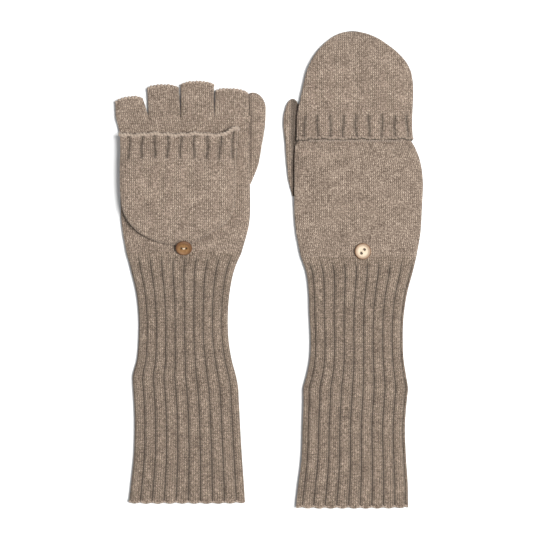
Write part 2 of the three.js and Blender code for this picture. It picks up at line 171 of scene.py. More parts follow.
def stitch_height(tree):
    """The height of the V stitches, 0 to 1, from the stitch map. The legs of a V touch in the middle
    of its wale and fall away to the gap beside the next one, and they climb towards that gap."""
    place = add_node(tree, "ShaderNodeUVMap", {"uv_map": "stitches"})
    place = add_node(tree, "ShaderNodeSeparateXYZ", in0=place).outputs
    across = add_node(tree, MATH, {"operation": "FRACT"}, in0=place[0])
    centred = add_node(tree, MATH, {"operation": "MULTIPLY_ADD"}, in0=across, in1=2.0, in2=-1.0)
    from_middle = add_node(tree, MATH, {"operation": "ABSOLUTE"}, in0=centred)
    turn = add_node(tree, MATH, {"operation": "MULTIPLY_ADD"}, in0=from_middle, in1=0.72 * math.pi,
                    in2=0.28 * math.pi)
    leg = add_node(tree, MATH, {"operation": "SINE"}, in0=turn)
    leg = add_node(tree, MATH, {"operation": "POWER"}, in0=leg, in1=0.6)
    climbed = add_node(tree, MATH, {"operation": "MULTIPLY_ADD"}, in0=from_middle, in1=-0.9, in2=place[1])
    along = add_node(tree, MATH, {"operation": "FRACT"}, in0=climbed)
    row = add_node(tree, MATH, {"operation": "MULTIPLY"}, in0=along, in1=math.pi)
    row = add_node(tree, MATH, {"operation": "SINE"}, in0=row)
    row = add_node(tree, MATH, {"operation": "POWER"}, in0=row, in1=0.5)
    return add_node(tree, MATH, {"operation": "MULTIPLY"}, in0=leg, in1=row)


def knit_material(name, light, middle, dark, stitch_depth):
    """Heathered knit. Its colour is three fibre shades mixed at two scales, with painted shade between
    the stitches, painted light on their tops, and more painted shade where the mesh's attribute of
    painted shade says: in the gutters of a rib, under the mouth's chain, in the thumb's crease and
    along the flap's rim."""
    material, tree, shader = new_material(name, 0.92)
    height = stitch_height(tree)
    space = add_node(tree, "ShaderNodeTexCoord").outputs["Object"]
    fibre = add_node(tree, "ShaderNodeTexNoise", Vector=space, Scale=1 / (1.1 * MM), Detail=3.0,
                     Roughness=0.75)
    cloud = add_node(tree, "ShaderNodeTexNoise", Vector=space, Scale=1 / (9 * MM), Detail=4.0, Roughness=0.6)
    mixed = add_node(tree, MATH, {"operation": "MULTIPLY_ADD"}, in0=cloud, in1=0.22, in2=fibre)
    shades = add_node(tree, "ShaderNodeValToRGB", in0=mixed)
    ramp = shades.color_ramp
    ramp.elements[0].position, ramp.elements[0].color = 0.4, linear(dark)
    ramp.elements[1].position, ramp.elements[1].color = 0.82, linear(light)
    ramp.elements.new(0.61).color = linear(middle)
    # The painted shade that the mesh carries: in the gutters of a rib, and wherever a piece adds more, as
    # under the mouth's chain, in the thumb's crease and along the flap's rim.
    painted_shade = add_node(tree, "ShaderNodeAttribute", {"attribute_name": "painted_shade"}).outputs["Fac"]
    # Painted shade between the stitches and painted light on their tops: the colour is scaled from 0.2 to 1.4
    # times with the stitch height.
    painted_stitch_shading = add_node(tree, "ShaderNodeMapRange", in0=height, in1=0.0, in2=0.9, in3=0.2, in4=1.4)
    # Where the painted shade is full, the colour falls to 0.3 of itself.
    deep = add_node(tree, "ShaderNodeMapRange", in0=painted_shade, in1=0.0, in2=1.0, in3=1.0, in4=0.3)
    painted_shading = add_node(tree, MATH, {"operation": "MULTIPLY"}, in0=painted_stitch_shading, in1=deep)
    colour = add_node(tree, "ShaderNodeVectorMath", {"operation": "SCALE"}, in0=shades, Scale=painted_shading)
    tree.links.new(colour.outputs[0], shader.inputs["Base Color"])
    fuzz = add_node(tree, "ShaderNodeTexNoise", Vector=space, Scale=1 / (0.45 * MM), Detail=2.0)
    rough = add_node(tree, MATH, {"operation": "MULTIPLY_ADD"}, in0=fuzz, in1=0.35, in2=height)
    bump = add_node(tree, "ShaderNodeBump", Strength=0.75, Distance=stitch_depth, Height=rough)
    tree.links.new(bump.outputs[0], shader.inputs["Normal"])
    shader.inputs["Specular IOR Level"].default_value = 0.15
    shader.inputs["Sheen Weight"].default_value = 0.22
    shader.inputs["Sheen Roughness"].default_value = 0.6
    shader.inputs["Sheen Tint"].default_value = linear("#E9DDCF")
    return material


stockinette = knit_material("carded_cashmere_stockinette", "#BDAB9B", "#817164", "#44372E", 0.5 * MM)
# The rib copy of the yarn is darker than the stockinette: painted shade for the deep ribs of the cuffs.
ribbing = knit_material("carded_cashmere_rib_darkened_for_shade", "#AF9D8D", "#78695C", "#3E3229", 0.5 * MM)

# %% [markdown]
# Bind-off edges, the seam and the loops are single strands of the same yarn, so they need the
# heather but no V shapes.

# %% Yarn material
def yarn_material(name, light, dark, grain):
    """A strand of heathered yarn."""
    material, tree, shader = new_material(name, 0.9)
    space = add_node(tree, "ShaderNodeTexCoord").outputs["Object"]
    fibre = add_node(tree, "ShaderNodeTexNoise", Vector=space, Scale=1 / grain, Detail=4.0, Roughness=0.7)
    shades = add_node(tree, "ShaderNodeValToRGB", in0=fibre.outputs["Fac"])
    shades.color_ramp.elements[0].position, shades.color_ramp.elements[0].color = 0.3, linear(dark)
    shades.color_ramp.elements[1].position, shades.color_ramp.elements[1].color = 0.7, linear(light)
    tree.links.new(shades.outputs["Color"], shader.inputs["Base Color"])
    bump = add_node(tree, "ShaderNodeBump", Strength=0.5, Distance=0.15 * MM, Height=fibre.outputs["Fac"])
    tree.links.new(bump.outputs[0], shader.inputs["Normal"])
    shader.inputs["Sheen Weight"].default_value = 0.2
    shader.inputs["Specular IOR Level"].default_value = 0.15
    return material


edge_yarn = yarn_material("carded_cashmere_edge", "#B9A899", "#7D6E61", 0.9 * MM)
# A darker copy of the edge yarn for the right flap's mouth: painted shade for the shadowed line along the
# closed flap's edge.
darker_mouth_yarn_for_shade = yarn_material("carded_cashmere_mouth_darkened_for_shade", "#A89788", "#6C5E52", 0.7 * MM)
button_cotton = yarn_material("waxed_cotton_thread", "#E6D8C3", "#B9A489", 0.3 * MM)

# %% [markdown]
# ## Reading the model
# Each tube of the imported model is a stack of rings. Grouping its corners by their distance along
# the mitten gives the outline at each ring, and a smooth curve through those gives it anywhere.

# %% Stations of a CAD tube
def stations_of(node, least=30):
    """Rows of distance, left, right, low and high, one for each whole ring of a CAD tube."""
    corners = np.array([tuple(vertex.co) for vertex in frame["nodes"][node].data.vertices])
    corners = np.unique(np.round(corners, 6), axis=0)
    places, counts = np.unique(np.round(corners[:, 1], 5), return_counts=True)
    rows = []
    for place in places[counts >= least]:
        ring = corners[np.abs(corners[:, 1] - place) < 6e-6]
        rows.append((place, ring[:, 0].min(), ring[:, 0].max(), ring[:, 2].min(), ring[:, 2].max()))
    return np.array(rows)


def follow(stations, y):
    """Left, right, low and high at each distance in y, on a smooth curve through the stations."""
    knots, values = stations[:, 0], stations[:, 1:]
    slopes = np.gradient(values, knots, axis=0)
    i = np.clip(np.searchsorted(knots, y) - 1, 0, len(knots) - 2)
    span = (knots[i + 1] - knots[i])[:, None]
    t = np.clip((y - knots[i])[:, None] / span, 0, 1)
    start = (2 * t**3 - 3 * t**2 + 1) * values[i] + (t**3 - 2 * t**2 + t) * span * slopes[i]
    return start + (3 * t**2 - 2 * t**3) * values[i + 1] + (t**3 - t**2) * span * slopes[i + 1]


def eased(value, low, high):
    """0 below low, 1 above high, and a smooth rise between."""
    t = np.clip((value - low) / (high - low), 0, 1)
    return t * t * (3 - 2 * t)


print("left cuff stations", len(stations_of("left_cuff")), "left hand", len(stations_of("left_hand")))

# %% [markdown]
# ## Knitted tubes
# A knitted piece lying flat is a flattened tube: two layers that meet in soft folds at the sides.
# Its section is a superellipse, boxier than an ellipse. The points are spread evenly round it, so
# that the wales keep their width. The cloth is never quite even, so a slow wave moves it a little.

# %% Rings of a flattened tube
KNIT = 1.2 * MM
DENSE = 720


def flat_ring(left, right, low, high, count, roundness=2.6):
    """Points spread evenly round a flattened tube's section, from its right-hand fold over the
    top: their places across and up."""
    angle = np.linspace(0, 2 * np.pi, DENSE + 1)
    power = 2 / roundness
    u = np.sign(np.cos(angle)) * np.abs(np.cos(angle)) ** power
    v = np.sign(np.sin(angle)) * np.abs(np.sin(angle)) ** power
    x = (left + right) / 2 + (right - left) / 2 * u
    z = (low + high) / 2 + (high - low) / 2 * v
    walked = np.concatenate([[0], np.cumsum(np.hypot(np.diff(x), np.diff(z)))])
    even = np.linspace(0, walked[-1], count, endpoint=False)
    return np.interp(even, walked, x), np.interp(even, walked, z)


def tube(y, edges, count, roundness=2.6):
    """A grid of rings, one at each distance in y, as an array of rows, columns and places."""
    grid = np.zeros((len(y), count, 3))
    for row, (left, right, low, high) in enumerate(edges):
        grid[row, :, 0], grid[row, :, 2] = flat_ring(left, right, low, high, count, roundness)
        grid[row, :, 1] = y[row]
    return grid


def uneven(grid, amount=0.35 * MM):
    """The cloth's slow waves: none at the table, more on the upper layer."""
    x, y, z = (grid[..., k].copy() for k in range(3))
    waves = np.sin(y / (13 * MM) + 2.1 * np.sin(x / (21 * MM))) + np.sin(x / (9 * MM) - y / (31 * MM))
    grid[..., 0] += amount * 0.7 * np.sin(y / (11 * MM) + np.sign(x) * 1.7)
    grid[..., 2] += amount * waves * np.clip(z / (10 * MM), 0, 1)
    grid[..., 2] = np.maximum(grid[..., 2], 0.0)
    return grid


def outward(grid):
    """The direction that each point of a grid faces, away from the middle of its ring."""
    round_it = np.roll(grid, -1, axis=1) - np.roll(grid, 1, axis=1)
    along_it = np.gradient(grid, axis=0)
    facing = np.cross(round_it, along_it)
    facing /= np.maximum(np.linalg.norm(facing, axis=2, keepdims=True), 1e-12)
    away = grid - grid.mean(axis=1, keepdims=True)
    return facing if (facing * away).sum() > 0 else -facing

# %% [markdown]
# A shell joins an outer grid to an inner one. A free edge is rolled over softly, and an edge that
# meets the next piece is cut off square, with a sharp corner, so that no line shows at the join.
# It carries the stitch map and, as an attribute, the painted shade of each point, from 0 to 1: deep in a
# rib's gutter and in other places where shade falls.

# %% Shell mesh
ROLLED_EDGE = 0.4 * MM


def shell(name, outer, inner, stitches, wrap, painted_shade, ends, material):
    """A closed mesh from an outer and an inner grid whose rows match. stitches holds the wale and
    course of each outer point, and wrap is how many wales go once round. ends says whether the
    first and last rows are "free", "joined" or, for a bag's tip, "closed"."""
    def edge_rows(k):
        if ends[k] != "free":
            return np.zeros((0, *outer.shape[1:]))
        middle = (outer[k] + inner[k]) / 2
        outside = (outer[k] - outer[1 if k == 0 else -2])[:, 1].mean()
        middle[:, 1] += math.copysign(ROLLED_EDGE, outside)
        return middle[None]

    first, last = edge_rows(0), edge_rows(-1)
    rows = np.concatenate([outer, last, inner[::-1], first])
    pick = [*range(len(outer)), *[-1] * len(last), *range(len(outer) - 1, -1, -1), *[0] * len(first)]
    # depth is the painted shade of each row's points, which goes on the mesh as an attribute.
    places, depth = stitches[pick], painted_shade[pick]
    if ends[1] == "closed":
        rows = np.concatenate([inner[::-1], first, outer])
        pick = [*range(len(outer) - 1, -1, -1), *[0] * len(first), *range(len(outer))]
        places, depth = stitches[pick], painted_shade[pick]
    total, count = rows.shape[:2]
    j = np.arange(total - 1 if ends[1] == "closed" else total)[:, None]
    i = np.arange(count)[None, :]
    k, up = (i + 1) % count, (j + 1) % total
    faces = np.stack([j * count + i, j * count + k, up * count + k, up * count + i], axis=-1).reshape(-1, 4)
    flat = places.reshape(-1, 2)
    corners = flat[faces]
    seam = np.broadcast_to(i == count - 1, (len(j), count)).reshape(-1)
    corners[seam, 1:3, 0] += wrap
    uvs, polygons = corners.reshape(-1, 2), faces.tolist()
    if ends[1] == "closed":
        for ring in (list(range(count))[::-1], list(range((total - 1) * count, total * count))):
            polygons.append(ring)
            uvs = np.concatenate([uvs, flat[ring]])
    mesh = bpy.data.meshes.new(name)
    mesh.from_pydata(rows.reshape(-1, 3).tolist(), [], polygons)
    mesh.uv_layers.new(name="stitches").data.foreach_set("uv", uvs.reshape(-1))
    mesh.attributes.new("painted_shade", "FLOAT", "POINT").data.foreach_set("value", depth.reshape(-1))
    mesh.polygons.foreach_set("use_smooth", [True] * len(polygons))
    square = [0, total - 1] * (ends[0] == "joined") + [len(outer) - 1, len(outer)] * (ends[1] == "joined")
    ring_of = np.array([edge.vertices for edge in mesh.edges]) // count
    sharp = (ring_of[:, 0] == ring_of[:, 1]) & np.isin(ring_of[:, 0], square)
    mesh.attributes.new("sharp_edge", "BOOLEAN", "EDGE").data.foreach_set("value", sharp)
    mesh.materials.append(material)
    if signed_volume(mesh) < 0:
        mesh.flip_normals()
    piece = bpy.data.objects.new(name, mesh)
    bpy.context.collection.objects.link(piece)
    print(f"{name}: {len(polygons)} faces")
    return piece


def signed_volume(mesh):
    """The volume that a mesh's faces enclose, negative if they face in."""
    mesh.calc_loop_triangles()
    corners = np.array([vertex.co for vertex in mesh.vertices])
    triangles = np.array([triangle.vertices for triangle in mesh.loop_triangles])
    a, b, c = corners[triangles[:, 0]], corners[triangles[:, 1]], corners[triangles[:, 2]]
    return float((a * np.cross(b, c)).sum() / 6)


def hollow_of(grid, shoulder, tip):
    """The inner wall of a bag: each ring drawn in towards its middle by the cloth's thickness, and
    the ones past the shoulder drawn back from the tip."""
    centre = (grid.max(axis=1, keepdims=True) + grid.min(axis=1, keepdims=True)) / 2
    across = np.maximum(np.ptp(grid[..., 0], axis=1), 1e-6)[:, None]
    up = np.maximum(np.ptp(grid[..., 2], axis=1), 1e-6)[:, None]
    inner = grid.copy()
    inner[..., 0] = centre[..., 0] + (grid[..., 0] - centre[..., 0]) * np.clip(1 - 2 * KNIT / across, 0.25, 1)
    inner[..., 2] = centre[..., 2] + (grid[..., 2] - centre[..., 2]) * np.clip(1 - 2 * KNIT / up, 0.3, 1)
    end = np.clip((grid[..., 1] - shoulder) / (tip - shoulder), 0, 1)
    inner[..., 1] -= math.copysign(KNIT, tip - shoulder) * end
    return inner

# %% [markdown]
# ## Relief
# Two things raise the cloth: the wales of plain stockinette, which are shallow, and the wide ribs,
# which are rounded bands with a narrow gutter of purl stitches between them.

# %% Wales and ribs
WALE_DEPTH = 0.16 * MM


def wale_relief(wales):
    """How far a point lies below the top of its wale, for its place counted in wales."""
    return -WALE_DEPTH * (1 - np.abs(np.sin(np.pi * wales))) ** 1.5


def rib_relief(ribs):
    """0 on top of a rib to 1 at the bottom of a gutter, for a place counted in ribs."""
    return np.abs(2 * (ribs % 1) - 1) ** 4.4


def knit_shell(name, grid, ribs, rib_depth, wrap, stitches, ends, material, shaded=0.0):
    """A shell of knit with its wales and, where rib_depth isn't 0, its ribs, with painted shade in their
    gutters. Where shaded is more than 0 the cloth gets more painted shade."""
    facing = outward(grid)
    # Painted shade: from the depth of a rib's gutter, plus shaded where a piece gives it.
    painted_shade = np.clip(rib_relief(ribs) * np.minimum(rib_depth / MM, 1) + shaded, 0, 1)
    sunk = -rib_relief(ribs) * rib_depth
    outer = grid + facing * (sunk + wale_relief(stitches[..., 0]))[..., None]
    inner = grid + facing * (sunk * 0.85 - KNIT)[..., None]
    for surface in (outer, inner):
        surface[..., 2] = np.maximum(surface[..., 2], 0.0)
    return shell(name, outer, inner, stitches, wrap, painted_shade, ends, material)

# %% [markdown]
# ## Cuffs
# The cuff is the longest part: a wide rib, 20 ribs round and five wales to a rib, drawn in at the
# wrist. It was folded once, which left a crease and a slight bulge part-way down. The ribs fade
# out where the hand starts. The same ribs run all the way, so they spread where the cuff widens.

# %% Cuff
CUFF_RIBS = 20
RIB_WALES = 5
FIRST_GUTTER = {"left": 0.12, "right": 0.66}     # how far round the first one lies, in ribs
CUFF_RIB_DEPTH = 1.25 * MM
CREASE = 86 * MM                # from the hem
CREASE_DEPTH = 1.3 * MM
CREASE_WIDTH = 1.6 * MM
HEM_WAVE = 0.35 * MM
CUFF_ROW = 1.5 * MM


def round_counts(rows, count, total):
    """How far round each point lies, from 0 to total, for every row of a grid."""
    return np.broadcast_to(np.arange(count) / count * total, (rows, count))


def cuff(side):
    """The cuff, from its hem to the hand."""
    stations = stations_of(f"{side}_cuff")
    hem, top = stations[0, 0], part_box(f"{side}_hand")[0][1]
    y = np.append(np.arange(hem, top - CUFF_ROW / 2, CUFF_ROW), top)
    count = CUFF_RIBS * 20
    grid = uneven(tube(y, follow(stations, y), count))
    dip = CREASE_DEPTH * np.exp(-(((y - hem - CREASE) / CREASE_WIDTH) ** 2))
    grid[..., 2] -= dip[:, None] * np.clip(grid[..., 2] / (9 * MM), 0, 1)
    ribs = round_counts(len(y), count, CUFF_RIBS) + FIRST_GUTTER[side]
    wave = HEM_WAVE * (1 - np.clip((y - hem) / (8 * MM), 0, 1))[:, None]
    grid[..., 1] += wave * np.cos(2 * np.pi * ribs)
    fade = 1 - eased(y, top - 9 * MM, top - 1 * MM)
    stitches = np.stack([ribs * RIB_WALES, np.broadcast_to(y[:, None] / COURSE, ribs.shape)], axis=-1)
    piece = knit_shell(f"{side}_cuff_knit", grid, ribs, (fade * CUFF_RIB_DEPTH)[:, None],
                       CUFF_RIBS * RIB_WALES, stitches, ("free", "joined"), ribbing)
    return piece, grid[0] - outward(grid)[0] * KNIT / 2 + (0, 0.5 * MM, 0)


cuffs, hems = {}, {}
for side in ("left", "right"):
    cuffs[side], hems[side] = cuff(side)

# %% [markdown]
# ## Finger stalls
# Each stall is a short stockinette tube, bound off so that the fingertip comes out of it. The
# stalls are measured first, because the knuckles have to take their shape where they start.

# %% Measure the stalls
STALL_NAMES = ("index", "middle", "ring", "little")
FINGER_LOW, FINGER_HIGH = 2.0 * MM, 8.3 * MM      # the left ones, which have to fit inside the flap


def stall_sizes(side, finger):
    """A stall's foot and end: distances, left and right edges, low, high and the end's slant."""
    node = f"{side}_{finger}_stall"
    low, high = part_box(node)
    corners = np.array([tuple(vertex.co) for vertex in frame["nodes"][node].data.vertices])
    foot = corners[corners[:, 1] < low[1] + 0.1 * MM]
    end = corners[corners[:, 1] > low[1] + 0.8 * (high[1] - low[1])]
    left_end, right_end = end[end[:, 0].argmin()], end[end[:, 0].argmax()]
    slant = (right_end[1] - left_end[1]) / (right_end[0] - left_end[0])
    if side == "left":
        low[2], high[2] = max(low[2], FINGER_LOW), min(high[2], FINGER_HIGH)
    return {
        "foot": (foot[:, 0].min(), foot[:, 0].max()), "end": (left_end[0], right_end[0]),
        "low": low[2], "high": high[2], "start": low[1], "stop": (left_end[1] + right_end[1]) / 2,
        "slant": slant,
    }


stalls = {side: [stall_sizes(side, finger) for finger in STALL_NAMES] for side in ("left", "right")}
print("left stalls stop at", [round(stall["stop"], 4) for stall in stalls["left"]])

# %% [markdown]
# ## Hands
# The hand is plain stockinette from the cuff to the knuckles. Its thumb edge rides up over the
# thumb that lies folded beside it. At the top its section turns from one wide tube into four
# round lobes, one for each stall, so that shallow valleys run down between the knuckles.

# %% Hand
HAND_WALES = 128
HAND_LIFT = 3.5 * MM            # of its edge, over the thumb
KNUCKLE_FADE = 9 * MM


def superellipse_half(u, roundness=2.6):
    """The half height of a superellipse at u, from -1 to 1, as a share of its most."""
    return np.clip(1 - np.abs(u) ** roundness, 0, 1) ** (1 / roundness)


def lobed(x, z, side):
    """A ring's height where it meets the stalls: the outline of the four of them side by side."""
    best_low, best_high = np.full_like(x, np.inf), np.full_like(x, -np.inf)
    for stall in stalls[side]:
        left, right = stall["foot"][0] - 0.15 * MM, stall["foot"][1] + 0.15 * MM
        u = (x - (left + right) / 2) / ((right - left) / 2)
        half = superellipse_half(u) * (stall["high"] - stall["low"]) / 2
        middle = (stall["high"] + stall["low"]) / 2
        here = np.abs(u) <= 1
        best_high = np.where(here, np.maximum(best_high, middle + half), best_high)
        best_low = np.where(here, np.minimum(best_low, middle - half), best_low)
    middle = (z.max() + z.min()) / 2
    return np.where(z >= middle, np.where(np.isfinite(best_high), best_high, z),
                    np.where(np.isfinite(best_low), best_low, z))


def hand_grid(side, y, count):
    """The hand's rings at the distances in y."""
    stations = stations_of(f"{side}_hand")
    edges = follow(stations, y)
    grid = tube(y, edges, count)
    thumb_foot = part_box(f"{side}_thumb")[0][1]
    thumb_side = 1 if side == "left" else -1
    hinge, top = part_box(f"{side}_flap_seam")[1][1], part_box(f"{side}_index_stall")[0][1]
    for row, (left, right, low, high) in enumerate(edges):
        x, z = grid[row, :, 0], grid[row, :, 2]
        u = (x - (left + right) / 2) / ((right - left) / 2) * thumb_side
        lifted = eased(y[row], thumb_foot - 9 * MM, thumb_foot - 1 * MM)
        lift = lifted * (HAND_LIFT - max(low, 0)) * eased(u, 0.45, 0.66)
        z += lift * (high - z) / (high - low)
        if side == "left":
            flatter = eased(y[row], hinge, hinge + 5 * MM)
            share = (z - z.min()) / np.ptp(z)
            z += flatter * (FINGER_LOW + share * (FINGER_HIGH - FINGER_LOW) - z)
        near = float(eased(y[row], top - KNUCKLE_FADE, top)) ** 1.6
        if near > 0:
            z += near * (lobed(x, z, side) - z)
    return uneven(grid)


def hand(side, start, stop, name):
    """Part of the hand, between two distances."""
    rows = max(int((stop - start) / (1.4 * MM)), 6)
    y = np.linspace(start, stop, rows + 1)
    count = HAND_WALES * 5
    grid = hand_grid(side, y, count)
    wales = round_counts(len(y), count, HAND_WALES)
    stitches = np.stack([wales, np.broadcast_to(y[:, None] / COURSE, wales.shape)], axis=-1)
    return knit_shell(name, grid, wales, 0.0, HAND_WALES, stitches, ("joined", "joined"), stockinette)


hands, knuckles = {}, {}
for side in ("left", "right"):
    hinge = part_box(f"{side}_flap_seam")[1][1] + 0.3 * MM
    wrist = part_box(f"{side}_hand")[0][1]
    stall_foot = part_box(f"{side}_index_stall")[0][1]
    hands[side] = hand(side, wrist, hinge, f"{side}_hand_knit")
    knuckles[side] = hand(side, hinge, stall_foot, f"{side}_knuckles_knit")

# %% [markdown]
# The stalls lean a little, and each end is a shallow curve, lowest at its two corners. The left
# ones are a little flatter than the hand, so that the flap can come over them.

# %% Stalls
STALL_WALES = {"left": 36, "right": 28}
STALL_WAIST = 0.1 * MM
ROOT_OVERLAP = 0.15 * MM
CORNER_DROP = 2.0 * MM
stall_pieces = {"left": [], "right": []}
stall_rims = {"left": [], "right": []}


def finger_stall(side, finger, stall):
    """One stall from the knuckles to its bound-off end, and the ring of its end."""
    rows = max(int((stall["stop"] - stall["start"]) / (1.2 * MM)), 6)
    t = np.linspace(0, 1, rows + 1)
    y = stall["start"] + t * (stall["stop"] - stall["start"])
    around = STALL_WALES[side]
    count = around * 5
    drawn_in = STALL_WAIST * np.sin(np.pi * t) - ROOT_OVERLAP * (1 - t)
    left = stall["foot"][0] + t * (stall["end"][0] - stall["foot"][0]) + drawn_in
    right = stall["foot"][1] + t * (stall["end"][1] - stall["foot"][1]) - drawn_in
    edges = np.stack([left, right, np.full_like(t, stall["low"]), np.full_like(t, stall["high"])], axis=1)
    grid = tube(y, edges, count)
    middle = (left + right) / 2
    grid[..., 1] += t[:, None] * stall["slant"] * (grid[..., 0] - middle[:, None])
    past_middle = (grid[..., 0] - middle[:, None]) / ((right - left) / 2)[:, None]
    grid[..., 1] -= CORNER_DROP * t[:, None] ** 3 * np.abs(past_middle) ** 3
    grid = uneven(grid)
    wales = round_counts(len(t), count, around)
    stitches = np.stack([wales, np.broadcast_to(y[:, None] / COURSE, wales.shape)], axis=-1)
    ends = ("joined", "free")
    piece = knit_shell(f"{side}_{finger}_stall_knit", grid, wales, 0.0, around, stitches, ends, stockinette)
    rim = grid[-1] - outward(grid)[-1] * KNIT * 0.6 - (0, 0.1 * MM, 0)
    return piece, rim


for side in ("left", "right"):
    for finger, stall in zip(STALL_NAMES, stalls[side]):
        piece, rim = finger_stall(side, finger, stall)
        stall_pieces[side].append(piece)
        stall_rims[side].append(rim)

# %% [markdown]
# ## Thumbs
# The thumb is a closed stall. It was folded up beside the hand before the mitten was laid down, so
# its inner side lies pressed under the edge of the hand and only its outer side stands round.

# %% Thumb
THUMB_WALES = 24
THUMB_COVERED = {"left": -13.6 * MM, "right": 18.5 * MM}
THUMB_SLOPE = {"left": (-2.5 * MM, 2.5 * MM), "right": (0.0, 5.5 * MM)}    # from pressed to round
THUMB_PRESSED = 2.7 * MM
# THUMB_SHADE is painted shadow: the hand's edge stands over the right thumb and shades it in the crease
# beside the hand.
THUMB_SHADE = {"left": 0.0, "right": 0.8}       # the dark of the crease beside the hand


def thumb(side):
    """The thumb, from its foot under the hand to its rounded tip."""
    box_low, box_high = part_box(f"{side}_thumb")
    foot, tip, low, high = box_low[1], box_high[1], box_low[2], box_high[2]
    stations = stations_of(f"{side}_thumb", 34)
    shoulder = stations[-1, 0]
    straight = np.linspace(foot, shoulder, 46, endpoint=False)
    turn = np.linspace(0, math.radians(86), 22)
    y = np.concatenate([straight, shoulder + (tip - shoulder) * np.sin(turn)])
    narrowing = np.concatenate([np.ones(len(straight)), np.cos(turn)])
    thinning = np.concatenate([np.ones(len(straight)), 1 - 0.72 * np.sin(turn) ** 4])
    edges = follow(stations, np.minimum(y, shoulder))
    middle = (edges[:, 0] + edges[:, 1]) / 2
    half = (edges[:, 1] - edges[:, 0]) / 2 * narrowing
    tall = (high - low) / 2 * thinning
    edges = np.stack([middle - half, middle + half, (low + high) / 2 - tall, (low + high) / 2 + tall], axis=1)
    grid = tube(y, edges, THUMB_WALES * 6)
    past = (grid[..., 0] - THUMB_COVERED[side]) * (1 if side == "left" else -1)
    pressed = (1 - eased(past, *THUMB_SLOPE[side])) * (high - THUMB_PRESSED)
    grid[..., 2] -= pressed * (grid[..., 2] - low) / (high - low)
    grid = uneven(grid)
    stitches = np.stack([grid[..., 0] / WALE, grid[..., 1] / COURSE], axis=-1)
    outer = grid + outward(grid) * wale_relief(stitches[..., 0])[..., None]
    inner = hollow_of(grid, shoulder, tip)
    # Painted shadow of the hand's edge on the thumb, strongest where the thumb is pressed under the hand.
    shaded = THUMB_SHADE[side] * (1 - eased(past, 1 * MM, 4 * MM))
    return shell(f"{side}_thumb_knit", outer, inner, stitches, 0.0, shaded, ("joined", "closed"), stockinette)


thumbs = {side: thumb(side) for side in ("left", "right")}

# %% [markdown]
# ## Flaps
# The flap is a small bag of stockinette with a ribbed band round its mouth. It is shaped by
# decreases at its two sides, so its wales run straight up to the curved edge and stop there. The
# stitch map is therefore laid flat on it instead of going round.

# %% Flap shape
FLAP_TALL = 10 * MM
FLAP_SAG = 0.3 * MM
EDGE_LIFT = 1.7 * MM            # of the right flap, beside the thumb
FLAP_ROUNDNESS = 4
TIP_LENGTH = 26 * MM
TIP_RISE = {"left": 0.0, "right": 1.7 * MM}
SHOULDER = {"left": 0.651, "right": 0.415}     # where the flap starts to thin, along its length
BAND_RIBS = 19
BAND_GUTTER = {"left": 0.45, "right": 0.35}    # how far round the first one lies, in ribs
BAND_DEPTH = {"left": 1.7 * MM, "right": 1.1 * MM}
MOUTH_RISE = 4.2 * MM           # of the left mouth, at its thumb end


def flap_places(side):
    """The distances of the mouth, the end of the band, the cap and the tip, and the stations. The
    rings that have both walls at one distance are the sides, and the last of them is the cap."""
    stations = np.concatenate([stations_of(f"{side}_flap_rib", 50), stations_of(f"{side}_flap", 50)])
    stations = stations[np.argsort(stations[:, 0])]
    low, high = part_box(f"{side}_flap")
    if side == "left":
        return stations[-1, 0], high[1], stations[0, 0], low[1], stations
    return stations[0, 0], low[1], stations[-1, 0], high[1], stations


def flap_grid(side, y, count):
    """The flap's rings at the distances in y, with its sag and the slow waves of the cloth."""
    mouth, _, cap, tip, stations = flap_places(side)
    rib_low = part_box(f"{side}_flap_rib")[0]
    corners = np.array([tuple(vertex.co) for vertex in frame["nodes"][f"{side}_flap"].data.vertices])
    tip_across = corners[np.abs(corners[:, 1] - tip).argmin(), 0]
    inside_cap = np.clip(y, min(mouth, cap), max(mouth, cap))
    left, right = follow(stations, inside_cap)[:, :2].T
    closing = np.clip((y - cap) / (tip - cap), 0, 1)
    half = (right - left) / 2 * np.sqrt(1 - closing)
    middle = (left + right) / 2 + closing * (tip_across - (left + right) / 2)
    shoulder = mouth + (tip - mouth) * SHOULDER[side]
    past = np.clip((y - shoulder) / (tip - shoulder), 0, 1)
    tall = np.minimum(FLAP_TALL, FLAP_TALL * (np.maximum(np.abs(tip - y), 0.3 * MM) / TIP_LENGTH) ** 0.42)
    low = rib_low[2] + TIP_RISE[side] * eased(past, 0.45, 0.7)
    high = np.maximum(rib_low[2] + tall, low + 0.6 * MM)
    grid = tube(y, np.stack([middle - half, middle + half, low, high], axis=1), count, FLAP_ROUNDNESS)
    x, z = grid[..., 0], grid[..., 2]
    if side == "right":
        u = (middle[:, None] - x) / np.maximum(half, 1e-6)[:, None]
        lift = EDGE_LIFT * (1 - past)[:, None] * eased(u, 0.8, 0.95)
        z += lift * (high[:, None] - z) / (high - low)[:, None]
    upper = np.clip((z - rib_low[2]) / FLAP_TALL, 0, 1)
    z -= FLAP_SAG * upper * (1 + np.sin(x / (7.4 * MM)) * np.sin(y[:, None] / (16 * MM)))
    return uneven(grid)

# %% [markdown]
# The pouch goes from the band to the tip, and the band from the pouch to the mouth. The band is
# bound off loosely, so its edge dips a little between the ribs.

